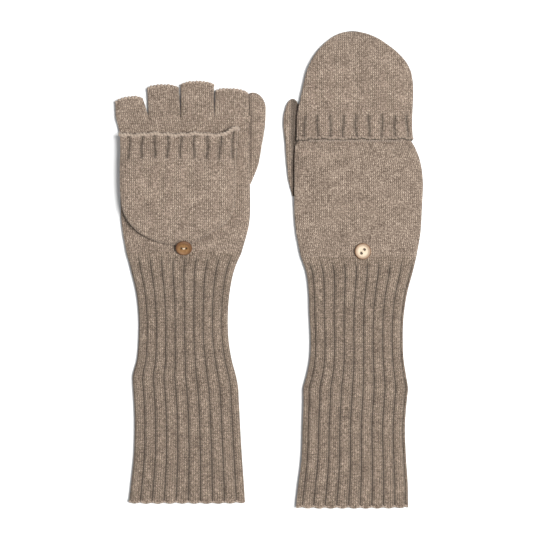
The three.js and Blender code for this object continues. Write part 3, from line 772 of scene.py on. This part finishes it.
# %% Pouch and band
def pouch(side):
    """The flap's bag."""
    mouth, band_end, cap, tip, _ = flap_places(side)
    turn = np.linspace(0, math.radians(88), 26)
    y = np.concatenate([np.linspace(band_end, cap, 46, endpoint=False), cap + (tip - cap) * np.sin(turn)])
    grid = flap_grid(side, y, 480)
    stitches = np.stack([grid[..., 0] / WALE, grid[..., 1] / COURSE], axis=-1)
    outer = grid + outward(grid) * wale_relief(stitches[..., 0])[..., None]
    inner = hollow_of(grid, cap, tip)
    # Painted shade along the flap's rim and at its tip, low down where the edge turns under towards the hand.
    height = grid[..., 2] - grid[..., 2].min(axis=1, keepdims=True)
    middle = (grid[..., 0].max(axis=1) + grid[..., 0].min(axis=1))[:, None] / 2
    out = np.abs(grid[..., 0] - middle) / np.maximum(np.ptp(grid[..., 0], axis=1) / 2, 1e-6)[:, None]
    rim = np.maximum(eased(out, 0.96, 1.0), 1 - eased(np.abs(grid[..., 1] - tip), 0.4 * MM, 1.2 * MM))
    shaded = 0.8 * rim * (1 - eased(height, 0.6 * MM, 3 * MM))
    return shell(f"{side}_flap_knit", outer, inner, stitches, 0.0, shaded, ("joined", "closed"), stockinette)


def band(side):
    """The ribbed band round the flap's mouth, and the ring of its edge."""
    mouth, band_end, cap, tip, _ = flap_places(side)
    y = np.linspace(mouth, band_end, 26)
    count = BAND_RIBS * 24
    grid = flap_grid(side, y, count)
    ribs = round_counts(len(y), count, BAND_RIBS) + BAND_GUTTER[side]
    bent = 0.05 * np.sin(y[:, None] / (3.1 * MM) + 1.9 * np.round(ribs))
    loose = 1 - np.clip(np.abs(y - mouth) / (6 * MM), 0, 1)[:, None]
    grid[..., 1] += 0.35 * MM * np.sign(tip - mouth) * loose * (1 - np.cos(2 * np.pi * ribs))
    grid[..., 1] += 0.45 * MM * loose * np.sin(grid[..., 0] / (4.6 * MM))
    if side == "left":
        near_end = eased((grid[..., 0] - grid[..., 0].mean()) / np.ptp(grid[..., 0]) * 2, 0.7, 1.0)
        grid[..., 1] += MOUTH_RISE * near_end * (1 - np.clip(np.abs(y - mouth) / (13 * MM), 0, 1))[:, None]
    fade = eased(np.abs(y - mouth), 0.5 * MM, 3 * MM) * (1 - eased(np.abs(y - mouth), 16.5 * MM, 19 * MM))
    depth = BAND_DEPTH[side] * fade[:, None]
    stitches = np.stack([grid[..., 0] / WALE, grid[..., 1] / COURSE], axis=-1)
    ends = ("free", "joined")
    # Painted shadow in the first rows of the band, just under the chain of edge stitches at the mouth.
    shadow_under_chain = 1 - eased(np.abs(y - mouth), 0.3 * MM, 1.1 * MM)[:, None]
    piece = knit_shell(f"{side}_flap_rib_knit", grid, ribs + bent, depth, 0.0, stitches, ends, stockinette,
                       shadow_under_chain)
    return piece, grid[0] - outward(grid)[0] * KNIT / 4 + (0, 1.0 * MM * np.sign(tip - mouth), 0)


pouches, bands, mouths = {}, {}, {}
for side in ("left", "right"):
    pouches[side] = pouch(side)
    bands[side], mouths[side] = band(side)

# %% [markdown]
# ## Edge stitches
# A bound-off edge is a chain of small plump loops that lean one way. They repeat along a closed
# line, so Geometry Nodes set them out: points at one spacing along the curve, and on each point a
# little ellipsoid that is turned to the line and leans across it. Each size is a named input.

# %% Stitch tree
def stitch_tree():
    """Stitches along a curve: a spacing, a length, a width, a lean and a seed."""
    tree = bpy.data.node_groups.new("edge_stitches", "GeometryNodeTree")
    face = tree.interface
    face.new_socket("Geometry", in_out="INPUT", socket_type="NodeSocketGeometry")
    for name, value in (("Spacing", 1.6 * MM), ("Length", 2.4 * MM), ("Width", 1.3 * MM), ("Lean", 0.8)):
        face.new_socket(name, in_out="INPUT", socket_type="NodeSocketFloat").default_value = value
    face.new_socket("Seed", in_out="INPUT", socket_type="NodeSocketInt").default_value = 3
    face.new_socket("Material", in_out="INPUT", socket_type="NodeSocketMaterial")
    face.new_socket("Geometry", in_out="OUTPUT", socket_type="NodeSocketGeometry")
    given = add_node(tree, "NodeGroupInput").outputs
    points = add_node(tree, "GeometryNodeCurveToPoints", {"mode": "LENGTH"},
                      Curve=given["Geometry"], Length=given["Spacing"])
    lean = add_node(tree, "ShaderNodeCombineXYZ", Y=given["Lean"]).outputs[0]
    heading = add_node(tree, "ShaderNodeVectorMath", in0=points.outputs["Tangent"], in1=lean).outputs[0]
    turned = add_node(tree, "FunctionNodeAlignRotationToVector", {"axis": "Z"}, Vector=heading).outputs[0]
    ball = add_node(tree, "GeometryNodeMeshUVSphere", Segments=8, Rings=6, Radius=0.5)
    size = add_node(tree, "ShaderNodeCombineXYZ", X=given["Width"], Y=given["Width"], Z=given["Length"])
    loop = add_node(tree, "GeometryNodeTransform", Geometry=ball, Scale=size).outputs[0]
    varied = add_node(tree, "FunctionNodeRandomValue", {"data_type": "FLOAT"}, Seed=given["Seed"])
    varied.inputs[2].default_value = 0.85
    varied.inputs[3].default_value = 1.12
    placed = add_node(tree, "GeometryNodeInstanceOnPoints", Points=points.outputs["Points"], Instance=loop,
                      Rotation=turned, Scale=varied.outputs[1]).outputs[0]
    real = add_node(tree, "GeometryNodeRealizeInstances", Geometry=placed).outputs[0]
    smooth = add_node(tree, "GeometryNodeSetShadeSmooth", Geometry=real).outputs[0]
    coloured = add_node(tree, "GeometryNodeSetMaterial", Geometry=smooth, Material=given["Material"])
    add_node(tree, "NodeGroupOutput", in0=coloured)
    return tree


edge_tree = stitch_tree()
socket_of = {item.name: item.identifier for item in edge_tree.interface.items_tree if item.in_out == "INPUT"}


def stitched(name, lines, cyclic, material, **sizes):
    """A plain mesh of stitches along one or more lines of points."""
    curve = bpy.data.curves.new(name, "CURVE")
    curve.dimensions = "3D"
    for line in lines:
        spline = curve.splines.new("POLY")
        spline.points.add(len(line) - 1)
        spline.points.foreach_set("co", np.c_[line, np.ones(len(line))].reshape(-1))
        spline.use_cyclic_u = cyclic
    guide = bpy.data.objects.new(name + "_guide", curve)
    bpy.context.collection.objects.link(guide)
    modifier = guide.modifiers.new("stitches", "NODES")
    modifier.node_group = edge_tree
    for size, value in sizes.items():
        modifier[socket_of[size]] = value
    modifier[socket_of["Material"]] = material
    seen = guide.evaluated_get(bpy.context.evaluated_depsgraph_get())
    mesh = bpy.data.meshes.new_from_object(seen)
    piece = bpy.data.objects.new(name, mesh)
    bpy.context.collection.objects.link(piece)
    bpy.data.objects.remove(guide)
    print(f"{name}: {len(mesh.polygons)} faces")
    return piece

# %% [markdown]
# The four stall ends of one mitten are on one body, so their stitches are one piece. The flap's
# mouth moves with the flap, and its stitches are plumper where it lies open. The seam is a row of
# short slanted stitches on the hinge line.

# %% Bound-off edges and seams
bound_off, mouth_edges, hem_edges, seams = {}, {}, {}, {}
for side in ("left", "right"):
    bound_off[side] = stitched(f"{side}_stall_edges", stall_rims[side], True, edge_yarn,
                               Spacing=2.5 * MM, Length=2.8 * MM, Width=2.0 * MM, Lean=0.9, Seed=3)
    # The right mouth's stitches take the darker copy of the yarn, which is painted shade.
    plump, yarn = (1.1, edge_yarn) if side == "left" else (0.75, darker_mouth_yarn_for_shade)
    mouth_edges[side] = stitched(f"{side}_mouth_edge", [mouths[side]], True, yarn, Spacing=2.4 * MM,
                                 Length=3.4 * MM * plump, Width=2.2 * MM * plump, Lean=0.8, Seed=5)
    hem_edges[side] = stitched(f"{side}_hem_edge", [hems[side]], True, edge_yarn,
                               Spacing=2.1 * MM, Length=2.6 * MM, Width=1.3 * MM, Lean=0.7, Seed=6)
    low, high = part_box(f"{side}_flap_seam")
    across = np.linspace(low[0], high[0], 40)
    middle = (low + high) / 2
    line = [(x, middle[1], middle[2]) for x in across]
    seams[side] = stitched(f"{side}_seam_stitches", [line], False, edge_yarn,
                           Spacing=1.6 * MM, Length=2.0 * MM, Width=0.9 * MM, Lean=0.9, Seed=7)

# %% [markdown]
# ## Buttons
# The buttons are turned from wood: a flat disc with a rounded rim, a shallow dish and two drilled
# holes. The left one is caramel brown, and the right one is nearly white with a scorched rim. The
# blank is a lathe shape, and the holes are cut by a Boolean whose result is kept as a plain mesh.

# %% Wood materials
def wood_material(name, face, rim, figure):
    """Turned wood. The colour goes from the face's to the rim's with the distance from the middle,
    and fine grain runs across the disc."""
    material, tree, shader = new_material(name, 0.6)
    out = add_node(tree, "ShaderNodeAttribute", {"attribute_name": "from_middle"}).outputs["Fac"]
    space = add_node(tree, "ShaderNodeTexCoord").outputs["Object"]
    stretched = add_node(tree, "ShaderNodeMapping", Vector=space, Scale=(1.0, 0.22, 1.0))
    grain = add_node(tree, "ShaderNodeTexNoise", Vector=stretched, Scale=1 / (0.8 * MM), Detail=5.0,
                     Distortion=0.6)
    ring = add_node(tree, "ShaderNodeMapRange", in0=out, in1=0.55, in2=0.92)
    turned = add_node(tree, "ShaderNodeMix", {"data_type": "RGBA"}, in0=ring, in6=linear(face),
                      in7=linear(rim))
    darker = add_node(tree, "ShaderNodeMapRange", in0=grain, in1=0.35, in2=0.75, in3=0.0, in4=0.55)
    figured = add_node(tree, "ShaderNodeMix", {"data_type": "RGBA"}, in0=darker, in6=turned.outputs[2],
                       in7=linear(figure))
    tree.links.new(figured.outputs[2], shader.inputs["Base Color"])
    bump = add_node(tree, "ShaderNodeBump", Strength=0.25, Distance=0.08 * MM, Height=grain)
    tree.links.new(bump.outputs[0], shader.inputs["Normal"])
    return material


caramel_wood = wood_material("oiled_caramel_wood", "#8F6A42", "#664327", "#5A3A1E")
pale_wood = wood_material("bleached_wood_scorched_rim", "#CCBBA3", "#6F4D34", "#AB9175")

# %% Button shape
BUTTON_RADIUS = 5.8 * MM
BUTTON_THICK = 2.2 * MM
HOLE_RADIUS = 1.1 * MM
HOLE_SPACING = 3.2 * MM
BUTTON_TURN = {"left": 0, "right": 50}          # of the two holes, in degrees
TURNS = 96


def lathe_mesh(name, profile, turns):
    """A closed solid from a profile of radius and height that starts and ends on the axis."""
    angle = np.arange(turns) / turns * 2 * np.pi
    points = [(0.0, 0.0, profile[0][1])]
    for radius, height in profile[1:-1]:
        points += [(radius * math.cos(a), radius * math.sin(a), height) for a in angle]
    points.append((0.0, 0.0, profile[-1][1]))
    rings = len(profile) - 2
    faces = [(0, 1 + (i + 1) % turns, 1 + i) for i in range(turns)]
    for ring in range(rings - 1):
        a, b = 1 + ring * turns, 1 + (ring + 1) * turns
        faces += [(a + i, a + (i + 1) % turns, b + (i + 1) % turns, b + i) for i in range(turns)]
    top = 1 + (rings - 1) * turns
    faces += [(len(points) - 1, top + i, top + (i + 1) % turns) for i in range(turns)]
    mesh = bpy.data.meshes.new(name)
    mesh.from_pydata(points, [], faces)
    return mesh


def rounded_profile():
    """Half of the button's section: back, round rim, a raised lip and a shallow dish."""
    half = BUTTON_THICK / 2
    profile = [(0, -half), (BUTTON_RADIUS - 1.3 * MM, -half)]
    for degrees in range(-75, 91, 15):
        a = math.radians(degrees)
        profile.append((BUTTON_RADIUS - 1.0 * MM + 1.0 * MM * math.cos(a), (half - 0.02 * MM) * math.sin(a)))
    profile += [(BUTTON_RADIUS - 1.35 * MM, half - 0.05 * MM), (BUTTON_RADIUS - 1.7 * MM, half - 0.25 * MM),
                (BUTTON_RADIUS - 2.1 * MM, half - 0.42 * MM), (BUTTON_RADIUS - 3.2 * MM, half - 0.52 * MM),
                (0, half - 0.55 * MM)]
    return profile


def button_place(side):
    """The matrix that puts a button's own frame on its joint, square to the joint's axis."""
    joints = frame["record"]["behaviour"]["joints"]
    joint = next(joint for joint in joints if joint["name"] == f"{side}_button_turn")
    tilt = Matrix.Rotation(math.atan2(-joint["axis"][1], joint["axis"][2]), 4, "X")
    spin = Matrix.Rotation(math.radians(BUTTON_TURN[side]), 4, "Z")
    return Matrix.Translation(joint["pos_m"]) @ tilt @ spin


def button(side, material):
    """A turned button with two holes."""
    name = f"{side}_button_wood"
    blank = bpy.data.objects.new(name, lathe_mesh(name, rounded_profile(), TURNS))
    bpy.context.collection.objects.link(blank)
    drills = []
    for across in (-HOLE_SPACING / 2, HOLE_SPACING / 2):
        deep = 2 * BUTTON_THICK
        rod = lathe_mesh("drill", [(0, -deep), (HOLE_RADIUS, -deep), (HOLE_RADIUS, deep), (0, deep)], 24)
        drill = bpy.data.objects.new("drill", rod)
        drill.location.x = across
        bpy.context.collection.objects.link(drill)
        cutter = blank.modifiers.new("hole", "BOOLEAN")
        cutter.object, cutter.operation, cutter.solver = drill, "DIFFERENCE", "EXACT"
        drills.append(drill)
    bpy.context.view_layer.update()
    drilled = bpy.data.meshes.new_from_object(blank.evaluated_get(bpy.context.evaluated_depsgraph_get()))
    blank.modifiers.clear()
    for drill in drills:
        bpy.data.objects.remove(drill)
    blank.data = drilled
    out = [math.hypot(v.co.x, v.co.y) / BUTTON_RADIUS for v in drilled.vertices]
    drilled.attributes.new("from_middle", "FLOAT", "POINT").data.foreach_set("value", out)
    drilled.polygons.foreach_set("use_smooth", [True] * len(drilled.polygons))
    drilled.set_sharp_from_angle(angle=math.radians(40))
    drilled.transform(button_place(side))
    drilled.materials.clear()
    drilled.materials.append(material)
    print(f"{side} button: {len(drilled.polygons)} faces, volume {signed_volume(drilled) * 1e9:.0f} mm3")
    return blank


buttons = {"left": button("left", caramel_wood), "right": button("right", pale_wood)}

# %% [markdown]
# ## Thread and loops
# Each button is sewn on with three passes of a pale cotton through its two holes, on a short shank.
# The loop that takes the button is two strands twisted round each other. A curve with a round
# bevel gives a strand, and it is turned into a plain mesh before it rides on its body.

# %% Strands
def strand(name, lines, radius, material):
    """Round strands along lines of points, as one plain mesh."""
    curve = bpy.data.curves.new(name, "CURVE")
    curve.dimensions, curve.bevel_depth, curve.bevel_resolution = "3D", radius, 3
    curve.use_fill_caps = True
    for line in lines:
        spline = curve.splines.new("POLY")
        spline.points.add(len(line) - 1)
        spline.points.foreach_set("co", np.c_[line, np.ones(len(line))].reshape(-1))
        spline.use_smooth = True
    guide = bpy.data.objects.new(name + "_guide", curve)
    bpy.context.collection.objects.link(guide)
    mesh = bpy.data.meshes.new_from_object(guide.evaluated_get(bpy.context.evaluated_depsgraph_get()))
    bpy.data.objects.remove(guide)
    mesh.materials.clear()
    mesh.materials.append(material)
    piece = bpy.data.objects.new(name, mesh)
    bpy.context.collection.objects.link(piece)
    return piece


def smooth_line(points, count):
    """A rounded path through a few points, by averaging the corners of an even walk."""
    points = np.array(points, float)
    walked = np.concatenate([[0], np.cumsum(np.linalg.norm(np.diff(points, axis=0), axis=1))])
    even = np.linspace(0, walked[-1], count)
    line = np.stack([np.interp(even, walked, points[:, k]) for k in range(3)], axis=1)
    for _ in range(6):
        line[1:-1] = (line[:-2] + 2 * line[1:-1] + line[2:]) / 4
    return line


def twisted(line, apart, pitch):
    """Two strands that wind round a line."""
    walked = np.concatenate([[0], np.cumsum(np.linalg.norm(np.diff(line, axis=0), axis=1))])
    heading = np.gradient(line, axis=0)
    heading /= np.linalg.norm(heading, axis=1, keepdims=True)
    side = np.cross(heading, (0, 0, 1))
    up = np.cross(side, heading)
    turn = (2 * np.pi * walked / pitch)[:, None]
    offset = (side * np.cos(turn) + up * np.sin(turn)) * apart / 2
    return [line + offset, line - offset]

# %% Button thread and loop
THREAD_RADIUS = 0.2 * MM
PLY_RADIUS = 0.33 * MM
PLY_SPACING = 0.42 * MM
PLY_PITCH = 2.2 * MM


def button_thread(side):
    """Passes of cotton side by side through the holes, and the shank under the button."""
    place = button_place(side)
    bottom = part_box(f"{side}_button_thread")[0][2]
    foot = place.inverted() @ Vector((place.translation.x, place.translation.y, bottom))
    half, face = HOLE_SPACING / 2 - 0.75 * MM, BUTTON_THICK / 2 - 0.45 * MM
    lines = []
    for beside in (-0.36 * MM, 0.0, 0.36 * MM):
        top = face + 0.1 * MM + (0.14 * MM if beside == 0 else 0.0)
        rise = [(-half * 0.4, foot[1], foot[2]), (-half, beside, -face - 0.3 * MM),
                (-half, beside, face - 0.6 * MM), (-half * 0.8, beside, top)]
        points = rise + [(-x, y, z) for x, y, z in rise[::-1]]
        line = smooth_line(points, 60)
        lines.append(np.array([tuple(place @ Vector(point)) for point in line]))
    return strand(f"{side}_button_cotton", lines, THREAD_RADIUS, button_cotton)


def button_loop(side):
    """The loop at the flap's tip: two straight sides and a round end."""
    low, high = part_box(f"{side}_button_loop")
    middle, height = (low[0] + high[0]) / 2, (low[2] + high[2]) / 2
    half = (high[0] - low[0]) / 2 - 0.5 * MM
    root, end = high[1] - 0.1 * MM, low[1] + 0.5 * MM
    turn = np.linspace(np.pi, 2 * np.pi, 24)
    bend = [(middle + half * math.cos(a), end + half + half * math.sin(a), height) for a in turn]
    line = np.concatenate([[(middle - half, root, height)], bend, [(middle + half, root, height)]])
    plies = twisted(smooth_line(line, 90), PLY_SPACING, PLY_PITCH)
    return strand(f"{side}_loop_cord", plies, PLY_RADIUS, edge_yarn)


threads = {side: button_thread(side) for side in ("left", "right")}
loops = {side: button_loop(side) for side in ("left", "right")}

# %% [markdown]
# ## Put each piece on its body
# A piece rides on the body whose part it stands for, and hides that part of the model. The thumb's
# foot is knitted to the hand; the thumb rides on no body, its place is baked into its mesh, and it
# hides the model's thumb. The left fingers are wider than the flap's mouth; their stalls, knuckles
# and stall ends each get a mesh of their own.

# %% Rides
for side in ("left", "right"):
    mitten, flap = f"{side}_mitten", f"{side}_flap"
    thumb_body, button_body = f"{side}_thumb", f"{side}_button"
    riding = [
        (cuffs[side], mitten, "cuff", "ribbing"),
        (hands[side], mitten, "hand", "stockinette"), (knuckles[side], mitten, None, "stockinette"),
        (bound_off[side], mitten, None, "sewing_yarn"), (hem_edges[side], mitten, None, "sewing_yarn"),
        (seams[side], mitten, "flap_seam", "sewing_yarn"), (pouches[side], flap, "flap", "stockinette"),
        (bands[side], flap, "flap_rib", "ribbing"), (mouth_edges[side], flap, None, "sewing_yarn"),
        (loops[side], flap, "button_loop", "sewing_yarn"),
        (buttons[side], button_body, "button", "caramel_wood" if side == "left" else "pale_wood"),
        (threads[side], button_body, "button_thread", "button_thread"),
    ]
    riding += [(piece, mitten, f"{finger}_stall", "stockinette")
               for piece, finger in zip(stall_pieces[side], STALL_NAMES)]
    for piece, body, node, finish in riding:
        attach(piece, body)
        if node:
            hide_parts(f"{side}_{node}")
    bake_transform(thumbs[side])
    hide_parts(f"{side}_thumb")

for piece in [*stall_pieces["left"], knuckles["left"], bound_off["left"]]:
    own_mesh(piece)
